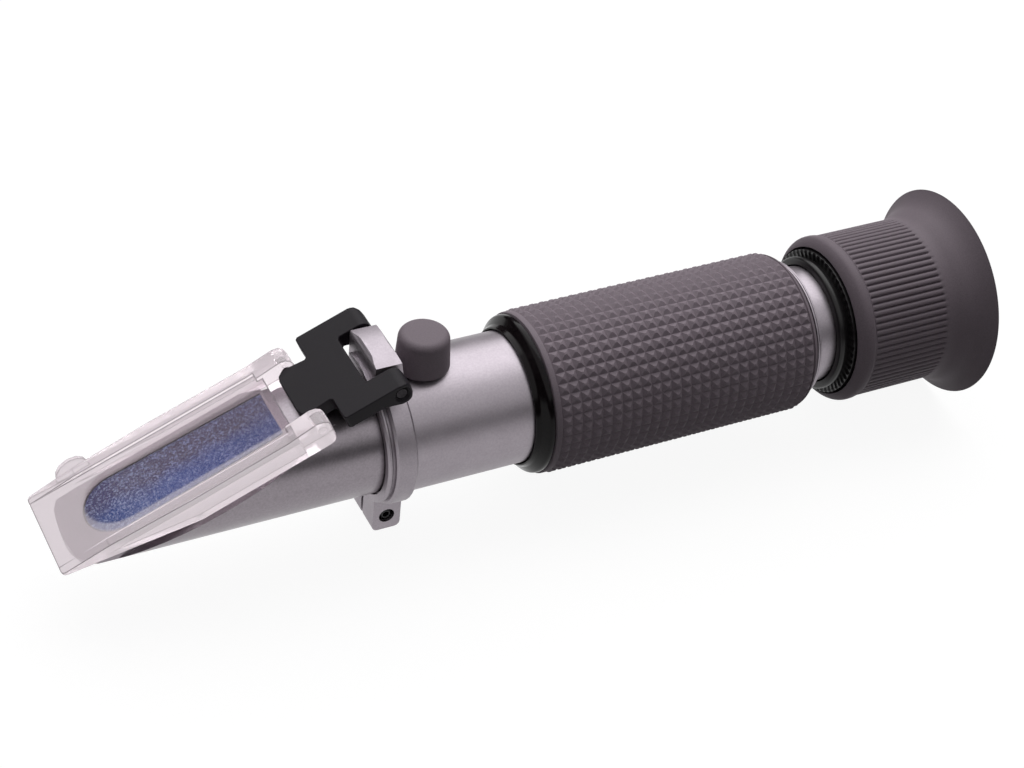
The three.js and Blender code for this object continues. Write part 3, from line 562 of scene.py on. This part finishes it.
def blue_prism():
    """Ground blue glass: blue on the near side, purple grey on the far side, with fine pale specks that are
    painted glints of the ground grains, paler toward the front.
    """
    material, tree, shader = new_material("blue_prism")
    place = object_place(tree)
    split = tree.nodes.new("ShaderNodeSeparateXYZ")
    tree.links.new(place, split.inputs["Vector"])
    half = PRISM_HALF_WIDTH * MM
    across = spread(tree, split.outputs["Y"], 0, 1, -half, half)
    along = spread(tree, split.outputs["X"], 0, 1, PRISM_FRONT * MM, PRISM_REAR * MM)
    drift = maths(tree, "MULTIPLY_ADD", noise(tree, DRIFT_SCALE), DRIFT_SHARE, across)
    side = spread(tree, drift, 0, 1, PURPLE_START, PURPLE_END)
    ground = mixed(tree, side, ramp(tree, along, NEAR_BLUES), ramp(tree, along, FAR_PURPLES))
    grain = tree.nodes.new("ShaderNodeTexVoronoi")
    grain.inputs["Scale"].default_value = GRAIN_SCALE
    tree.links.new(place, grain.inputs["Vector"])
    cell = tree.nodes.new("ShaderNodeSeparateColor")
    tree.links.new(grain.outputs["Color"], cell.inputs["Color"])
    # Painted glints on the brightest grains
    sparkle = spread(tree, cell.outputs["Red"], 0, GRAIN_GLINT_SHARE, GRAIN_GLINT_START, 1.0)
    glinted = mixed(tree, sparkle, ground, ramp(tree, along, GRAIN_GLINT_BLUES))
    tree.links.new(glinted, shader.inputs["Base Color"])
    shader.inputs["Roughness"].default_value = PRISM_ROUGHNESS
    shader.inputs["Specular IOR Level"].default_value = PRISM_SPECULAR
    bump(tree, shader, grain.outputs["Distance"], GRAIN_BUMP, GRAIN_DEPTH * MM)
    return material


SATIN = metal("satin_aluminium", (0.31, 0.279, 0.307), (0.362, 0.326, 0.358), rough=(0.4, 0.46), grain=9000)
CASTING = metal("cast_metal", (0.235, 0.210, 0.231), (0.290, 0.260, 0.285), rough=(0.30, 0.36), grain=9000)
CLAMP_METAL = metal("clamp_metal", (0.30, 0.27, 0.297), (0.35, 0.315, 0.346), rough=(0.42, 0.50), grain=7000)
POLISHED = metal("polished_metal", (0.50, 0.455, 0.49), (0.56, 0.51, 0.55), rough=(0.14, 0.22), grain=6000)
# Steel painted almost black: painted shade standing in for the dark recesses round the pin ends
PIN_SHADED = metal("pin_steel_shaded", (0.012, 0.011, 0.012), (0.030, 0.027, 0.030), rough=(0.14, 0.24), grain=6000)
DARK_METAL = metal("dark_metal", (0.035, 0.035, 0.037), (0.05, 0.05, 0.052), rough=(0.32, 0.45), grain=6000)
BRASS = metal("brass", (0.60, 0.42, 0.17), (0.68, 0.50, 0.22), rough=(0.22, 0.34), grain=6000)
BLACK_GLOSS = moulded(
    "black_gloss",
    (0.006, 0.004, 0.005),
    (0.010, 0.007, 0.008),
    rough=(0.12, 0.20),
    grain=1500,
    relief=0.05,
    depth=0.02,
    specular=0.12,
)
BLACK_MATTE = moulded(
    "black_matte",
    (0.0088, 0.0066, 0.0094),
    (0.0138, 0.0107, 0.0148),
    rough=(0.42, 0.55),
    grain=5000,
    relief=0.2,
    depth=0.02,
    specular=0.15,
)
BLACK_SATIN = moulded(
    "black_satin",
    (0.006, 0.005, 0.006),
    (0.011, 0.009, 0.010),
    rough=(0.28, 0.38),
    grain=3000,
    relief=0.1,
    depth=0.02,
    specular=0.3,
)
RUBBER = rubber("grey_rubber", (0.190, 0.156, 0.180), (0.228, 0.188, 0.216))
GRIP_RUBBER = rubber("grip_rubber", (0.214, 0.176, 0.203), (0.258, 0.212, 0.244))
CUP_RUBBER = rubber("cup_rubber", (0.166, 0.136, 0.157), (0.200, 0.164, 0.189))
CLEAR = clear_plastic()
GLASS = optical_glass()
BLUE = blue_prism()


# The grip's sleeve, moulded with rows of small pyramids
def make_grip_sleeve():
    low, high = (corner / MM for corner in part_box("grip_sleeve"))
    front, rear = low.x, high.x
    radius = (high.z - low.z) / 2
    bore = TUBE_RADIUS + TUBE_GAP
    first = front + KNURL_BAND
    last = first + KNURL_ROWS * KNURL_PITCH
    bend = rear - SLEEVE_REAR_FILLET

    def base(x):
        """The plain sleeve's radius, with its rounded rear end."""
        inside = max(0, x - bend)
        return radius - SLEEVE_REAR_FILLET + math.sqrt(SLEEVE_REAR_FILLET**2 - inside**2)

    columns = KNURL_COLUMNS * 2
    shares = [k / columns for k in range(columns)]
    form = bmesh.new()

    def ring(x, r):
        return [form.verts.new(about_tube(x, r, share)) for share in shares]

    # Smooth stretch from the last row of pyramids, round the rear, through the bore and up the front
    arc_start = math.asin((last + KNURL_STEP - bend) / SLEEVE_REAR_FILLET)
    smooth_rings = []
    for k in range(ARC_STEPS * 2 + 1):
        turn = arc_start + (TURN / 4 - arc_start) * k / (ARC_STEPS * 2)
        x = bend + SLEEVE_REAR_FILLET * math.sin(turn)
        smooth_rings.append((x, radius - SLEEVE_REAR_FILLET * (1 - math.cos(turn))))
    smooth_rings += [
        (rear, bore),
        (front, bore),
        (front, radius - SLEEVE_FRONT_FILLET),
        (front + SLEEVE_FRONT_FILLET / 3, radius - SLEEVE_FRONT_FILLET / 3),
        (front + SLEEVE_FRONT_FILLET, radius),
        (first - KNURL_STEP, radius),
    ]
    rings = [ring(x, r) for x, r in smooth_rings]

    # Lattice of valleys: the corners and edge middles of each pyramid's foot
    lattice = {}
    for i in range(KNURL_ROWS * 2 + 1):
        x = first + i * KNURL_PITCH / 2
        for k in range(columns):
            if i % 2 and k % 2:
                continue
            lattice[i, k] = form.verts.new(about_tube(x, base(x) - KNURL_SINK, shares[k]))
    rows = range(columns)
    chain = [[lattice[KNURL_ROWS * 2, k] for k in rows]] + rings + [[lattice[0, k] for k in rows]]
    for ring_now, ring_next in zip(chain, chain[1:]):
        join_rings(form, ring_now, ring_next)
    for i in range(0, KNURL_ROWS * 2, 2):
        for k in range(0, columns, 2):
            add_pyramid(form, lattice, i, k, columns, first, base)
    piece = finished("grip_sleeve_knurled", form, KNURL_CREASE)
    return stand_in(piece, "grip_sleeve", GRIP_RUBBER)


def add_pyramid(form, lattice, i, k, columns, first, base):
    """One pyramid with a blunt tip over the lattice's cell that starts at row i and column k."""
    foot = [(0, 0), (0, 1), (0, 2), (1, 2), (2, 2), (2, 1), (2, 0), (1, 0)]
    rim = [lattice[i + row, (k + column) % columns] for row, column in foot]
    tip = []
    for row_side, column_side in ((-1, -1), (-1, 1), (1, 1), (1, -1)):
        x = first + (i + 1 + row_side * KNURL_TIP_SHARE) * KNURL_PITCH / 2
        share = (k + 1 + column_side * KNURL_TIP_SHARE) / columns
        tip.append(form.verts.new(about_tube(x, base(x) + KNURL_RISE, share)))
    for side in range(4):
        start, middle, end = rim[side * 2], rim[side * 2 + 1], rim[(side * 2 + 2) % 8]
        near, far = tip[side], tip[(side + 1) % 4]
        form.faces.new((start, middle, near))
        form.faces.new((middle, far, near))
        form.faces.new((middle, end, far))
    form.faces.new(tip)


# The gloss ring ahead of the grip and the grooved bright ring behind it
def make_front_ring():
    low, high = (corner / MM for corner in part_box("grip_front_ring"))
    bore = TUBE_RADIUS + TUBE_GAP
    outer = (high.z - low.z) / 2
    outline = rounded(
        [
            (low.x, bore),
            (low.x, bore + FRONT_RING_LIP),
            (low.x + FRONT_RING_FOOT, bore + FRONT_RING_FOOT_RISE, FRONT_RING_FILLET),
            (high.x - FRONT_RING_LAND, outer, FRONT_RING_FILLET),
            (high.x, outer),
            (high.x, bore),
        ]
    )
    return stand_in(turned("front_ring_gloss", outline), "grip_front_ring", BLACK_GLOSS)


def make_rear_ring():
    low, high = (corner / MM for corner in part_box("grip_rear_ring"))
    bore = NECK_RADIUS + TUBE_GAP
    outer = (high.z - low.z) / 2
    groove = low.x + REAR_RING_BEAD
    outline = rounded(
        [
            (low.x, bore),
            (low.x, outer, REAR_RING_FILLET),
            (groove, outer, REAR_RING_FILLET),
            (groove, outer - REAR_RING_GROOVE_DEPTH),
            (groove + REAR_RING_GROOVE, outer - REAR_RING_GROOVE_DEPTH),
            (groove + REAR_RING_GROOVE, outer - REAR_RING_STEP, REAR_RING_FILLET),
            (high.x, outer - REAR_RING_STEP, REAR_RING_FILLET),
            (high.x, bore),
        ]
    )
    return stand_in(turned("rear_ring_grooved", outline), "grip_rear_ring", CLAMP_METAL)


# The focusing collar, with a ring of small beads inside the eyecup's mouth
def make_collar():
    low, high = (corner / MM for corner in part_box("eyepiece_collar"))
    bore = NECK_RADIUS + TUBE_GAP
    outer = (high.z - low.z) / 2
    lip_rear = low.x + COLLAR_LIP_LENGTH
    beads = lip_rear + COLLAR_GROOVE_LENGTH
    shoulder = high.x - COLLAR_SHOULDER
    outline = rounded(
        [
            (low.x, bore),
            (low.x, COLLAR_LIP_RADIUS, COLLAR_LIP_FILLET),
            (lip_rear, COLLAR_LIP_RADIUS),
            (lip_rear, COLLAR_GROOVE_RADIUS),
            (beads, COLLAR_GROOVE_RADIUS),
            (beads, COLLAR_BEAD_RADIUS),
            (beads, (COLLAR_BEAD_RADIUS + outer) / 2),
            (beads, outer),
            (beads + SERRATION_DEPTH, outer),
            (high.x, outer),
            (high.x, BARREL_RADIUS + TUBE_GAP),
            (shoulder, BARREL_RADIUS + TUBE_GAP),
            (shoulder, bore),
        ]
    )
    steps = SERRATIONS * SERRATION_STEPS
    shares = [k / steps for k in range(steps)]

    def beaded(x, radius, share):
        if abs(x - beads) > TINY or radius < COLLAR_BEAD_RADIUS - TINY:
            return x, radius
        height = SERRATION_DEPTH * (math.cos(TURN * SERRATIONS * share) + 1) / 2
        crest = COLLAR_BEAD_RADIUS + TINY < radius < outer - TINY
        return (x - height if crest else x - height / 3), radius

    piece = turned("collar_beaded", outline, shares, detail=beaded)
    return stand_in(piece, "eyepiece_collar", BLACK_SATIN)


# The rubber eyecup: a beaded mouth, a ribbed band and a flared bowl
def make_eyecup():
    low, high = (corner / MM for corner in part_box("eyecup"))
    front, rear = low.x, high.x
    rim = (high.z - low.z) / 2
    rib_front = front + BEAD_LENGTH
    rib_rear = rib_front + RIB_BAND_LENGTH
    flare_mid = rear - FLARE_MID_AHEAD
    floor = rear - BOWL_FLOOR_AHEAD
    collar_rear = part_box("eyepiece_collar")[1].x / MM + TUBE_GAP
    groove_front = rib_front + RIB_FOOT_LENGTH
    band = [(groove_front + step, RIB_RADIUS) for step in RIB_END_STEPS]
    band += [(rib_rear - step, RIB_RADIUS) for step in reversed(RIB_END_STEPS)]
    outline = rounded(
        [
            (front, SKIRT_BORE),
            (front, SKIRT_BORE + BEAD_LIP),
            (front + BEAD_FRONT_LENGTH, BEAD_RADIUS, BEAD_FRONT_FILLET),
            (rib_front, BEAD_RADIUS, BEAD_REAR_FILLET),
            (rib_front + RIB_FOOT_LENGTH / 2, RIB_RADIUS),
            *band,
            (rear - FLARE_LENGTH, RIB_RADIUS, FLARE_FOOT_FILLET),
            (flare_mid, FLARE_MID_RADIUS, FLARE_MID_FILLET),
            (rear - RIM_EDGE, rim - RIM_EDGE),
            (rear - RIM_EDGE / 3, rim),
            (rear, rim - RIM_EDGE / 3),
            (rear, rim - RIM_THICKNESS, RIM_FILLET),
            (flare_mid, FLARE_MID_RADIUS - BOWL_WALL, FLARE_MID_FILLET / 2),
            (floor, BOWL_FLOOR_RADIUS),
            (floor, BARREL_RADIUS + TUBE_GAP),
            (collar_rear, BARREL_RADIUS + TUBE_GAP),
            (collar_rear, SKIRT_BORE),
        ]
    )
    shares = [(rib + part) / RIB_COUNT for rib in range(RIB_COUNT) for part in RIB_COLUMN_SHARES]

    def ribbed(x, radius, share):
        if abs(radius - RIB_RADIUS) > TINY or not groove_front - TINY <= x <= rib_rear + TINY:
            return x, radius
        end = min(x - groove_front, rib_rear - x) / RIB_END_LENGTH
        fade = math.sqrt(max(0, 1 - (1 - min(1, end)) ** 2))
        phase = abs((share * RIB_COUNT + 1 / 2) % 1 - 1 / 2)
        if phase >= RIB_GROOVE_HALF_SHARE:
            return x, radius
        depth = math.cos(phase / RIB_GROOVE_HALF_SHARE * TURN / 4)
        return x, radius - RIB_GROOVE_DEPTH * depth * fade

    piece = turned("eyecup_ribbed", outline, shares, detail=ribbed, angle=RIB_CREASE)
    return stand_in(piece, "eyecup", CUP_RUBBER)


# The rubber cap over the calibration screw
def make_cap():
    bottom, top = CAP_LOW.z, CAP_HIGH.z
    ceiling = bottom + (top - bottom) * CAP_CAVITY_SHARE
    outline = rounded(
        [
            (ceiling, 0),
            (ceiling, CAP_CAVITY_RADIUS),
            (bottom, CAP_CAVITY_RADIUS),
            (bottom, CAP_FOOT_RADIUS, CAP_FOOT_FILLET),
            (top, CAP_TOP_RADIUS, CAP_TOP_FILLET),
            (top, 0),
        ],
        ARC_STEPS * 2,
    )
    piece = turned("calibration_cap_soft", outline, place=about_cap)
    return stand_in(piece, "calibration_cap", RUBBER)


make_grip_sleeve()
make_front_ring()
make_rear_ring()
make_collar()
make_eyecup()
make_cap()

# Pieces that keep the CAD outline: material, rounds on their edges and whether faces follow the tube
for node, material, edge_round, turned_faces in [
    ("prism_body", CASTING, 0.15, True),
    ("measuring_prism", BLUE, 0.08, False),
    ("clamp_band", CLAMP_METAL, 0.12, True),
    ("clamp_screw", DARK_METAL, 0.08, False),
    ("main_tube", SATIN, 0.12, True),
    ("eyepiece_neck", SATIN, 0.1, True),
]:
    refined(node, material, edge_round, turned_faces)

refined("hinge_arm", BLACK_MATTE, ARM_BEVEL, clamped=False)
refined("hinge_pin", PIN_SHADED, PIN_BEVEL)
refined("plate_pin", PIN_SHADED, PIN_BEVEL)
mark_edges(refined("daylight_plate", CLEAR, PLATE_BEVEL, clamped=False))

# Pieces inside, with the CAD's own edges
for node, material in {
    "calibration_bush": POLISHED,
    "calibration_screw": BRASS,
    "objective_cell": DARK_METAL,
    "objective_lens": GLASS,
    "objective_retaining_ring": DARK_METAL,
    "strip_anchor": DARK_METAL,
    "bimetal_strip": BRASS,
    "strip_screw": DARK_METAL,
    "light_stop": BLACK_MATTE,
    "reticle": GLASS,
    "reticle_retaining_ring": DARK_METAL,
    "ocular_barrel": DARK_METAL,
    "field_lens": GLASS,
    "lens_spacer": DARK_METAL,
    "eye_lens": GLASS,
    "ocular_retaining_ring": DARK_METAL,
}.items():
    refined(node, material, 0)


# Floor, dark low screen round the set, light and camera
FLOOR_SIZE = 4
FLOOR_DROP = 0.05 * MM
FLOOR_COLOR = (0.13, 0.13, 0.13, 1)
FLOOR_GLOW = 0.92
SCREEN_RADIUS = 0.9
SCREEN_LOW = 0.0
SCREEN_HIGH = 0.42
SCREEN_COLOR = (0.06, 0.055, 0.06, 1)
SCREEN_SIDES = 64
SCREEN_ROUGHNESS = 0.9
SKY_STRENGTH = 0.27
SOFTBOX_PLACE = (0.25, 0.5, 0.75)
SOFTBOX_TARGET = (0, 0, 0.02)
SOFTBOX_SIZE = (1.6, 1.25)
SOFTBOX_POWER = 10.9


def make_floor():
    form = bmesh.new()
    half = FLOOR_SIZE / 2
    signs = ((-1, -1), (1, -1), (1, 1), (-1, 1))
    form.faces.new([form.verts.new((half * x, half * y, -FLOOR_DROP)) for x, y in signs])
    mesh = bpy.data.meshes.new("floor")
    form.to_mesh(mesh)
    form.free()
    floor = new_object("floor", mesh)
    material = bpy.data.materials.new("floor")
    material.use_nodes = True
    tree = material.node_tree
    tree.nodes.clear()
    out = tree.nodes.new("ShaderNodeOutputMaterial")
    diffuse = tree.nodes.new("ShaderNodeBsdfDiffuse")
    diffuse.inputs["Color"].default_value = FLOOR_COLOR
    glow = tree.nodes.new("ShaderNodeEmission")
    both = tree.nodes.new("ShaderNodeAddShader")
    tree.links.new(seen_ray(tree, FLOOR_GLOW), glow.inputs["Strength"])
    tree.links.new(diffuse.outputs["BSDF"], both.inputs[0])
    tree.links.new(glow.outputs["Emission"], both.inputs[1])
    tree.links.new(both.outputs["Shader"], out.inputs["Surface"])
    floor.data.materials.append(material)


def seen_ray(tree, strength):
    """The strength on camera, glossy and transmission rays, and zero on the rest."""
    path = tree.nodes.new("ShaderNodeLightPath")
    share = path.outputs["Is Camera Ray"]
    for kind in ("Is Glossy Ray", "Is Transmission Ray"):
        share = maths(tree, "MAXIMUM", share, path.outputs[kind])
    return maths(tree, "MULTIPLY", share, strength)


def make_screen():
    """A low dark cloth round the set, out of the camera's sight: it gives the metal its soft dark band."""
    form = bmesh.new()
    angles = [TURN * k / SCREEN_SIDES for k in range(SCREEN_SIDES)]
    circle = [(SCREEN_RADIUS * math.cos(angle), SCREEN_RADIUS * math.sin(angle)) for angle in angles]
    heights = (SCREEN_LOW, SCREEN_HIGH)
    join_rings(form, *[[form.verts.new((*point, height)) for point in circle] for height in heights])
    mesh = bpy.data.meshes.new("screen")
    form.to_mesh(mesh)
    form.free()
    screen = new_object("screen", mesh)
    material, _, shader = new_material("screen_cloth")
    shader.inputs["Base Color"].default_value = SCREEN_COLOR
    shader.inputs["Roughness"].default_value = SCREEN_ROUGHNESS
    mesh.materials.append(material)
    screen.visible_camera = False
    screen.visible_transmission = False


def make_world():
    world = bpy.data.worlds.new("studio")
    bpy.context.scene.world = world
    world.use_nodes = True
    tree = world.node_tree
    tree.nodes.clear()
    out = tree.nodes.new("ShaderNodeOutputWorld")
    room = tree.nodes.new("ShaderNodeBackground")
    room.inputs["Color"].default_value = (1, 1, 1, 1)
    room.inputs["Strength"].default_value = SKY_STRENGTH
    white = tree.nodes.new("ShaderNodeBackground")
    white.inputs["Color"].default_value = (1, 1, 1, 1)
    mix = tree.nodes.new("ShaderNodeMixShader")
    tree.links.new(seen_ray(tree, 1.0), mix.inputs["Fac"])
    tree.links.new(room.outputs["Background"], mix.inputs[1])
    tree.links.new(white.outputs["Background"], mix.inputs[2])
    tree.links.new(mix.outputs["Shader"], out.inputs["Surface"])


def make_softbox():
    data = bpy.data.lights.new("top_softbox", "AREA")
    data.shape = "RECTANGLE"
    data.size, data.size_y = SOFTBOX_SIZE
    data.energy = SOFTBOX_POWER
    light = bpy.data.objects.new("top_softbox", data)
    bpy.context.scene.collection.objects.link(light)
    light.location = SOFTBOX_PLACE
    aim = Vector(SOFTBOX_TARGET) - Vector(SOFTBOX_PLACE)
    light.rotation_euler = aim.to_track_quat("-Z", "Y").to_euler()


def make_camera():
    data = bpy.data.cameras.new("photo_camera")
    data.sensor_width = SENSOR_WIDTH
    data.lens = FOCAL_PIXELS / PHOTO_WIDTH * SENSOR_WIDTH
    data.clip_start = CLIP_START
    camera = bpy.data.objects.new("photo_camera", data)
    bpy.context.scene.collection.objects.link(camera)
    look = (CAMERA_TARGET - CAMERA_PLACE).to_track_quat("-Z", "Y").to_matrix().to_4x4()
    camera.matrix_world = Matrix.Translation(CAMERA_PLACE) @ look @ Matrix.Rotation(CAMERA_ROLL, 4, "Z")
    bpy.context.scene.camera = camera


make_floor()
make_screen()
make_world()
make_softbox()
make_camera()
bpy.context.scene.view_settings.view_transform = "Standard"
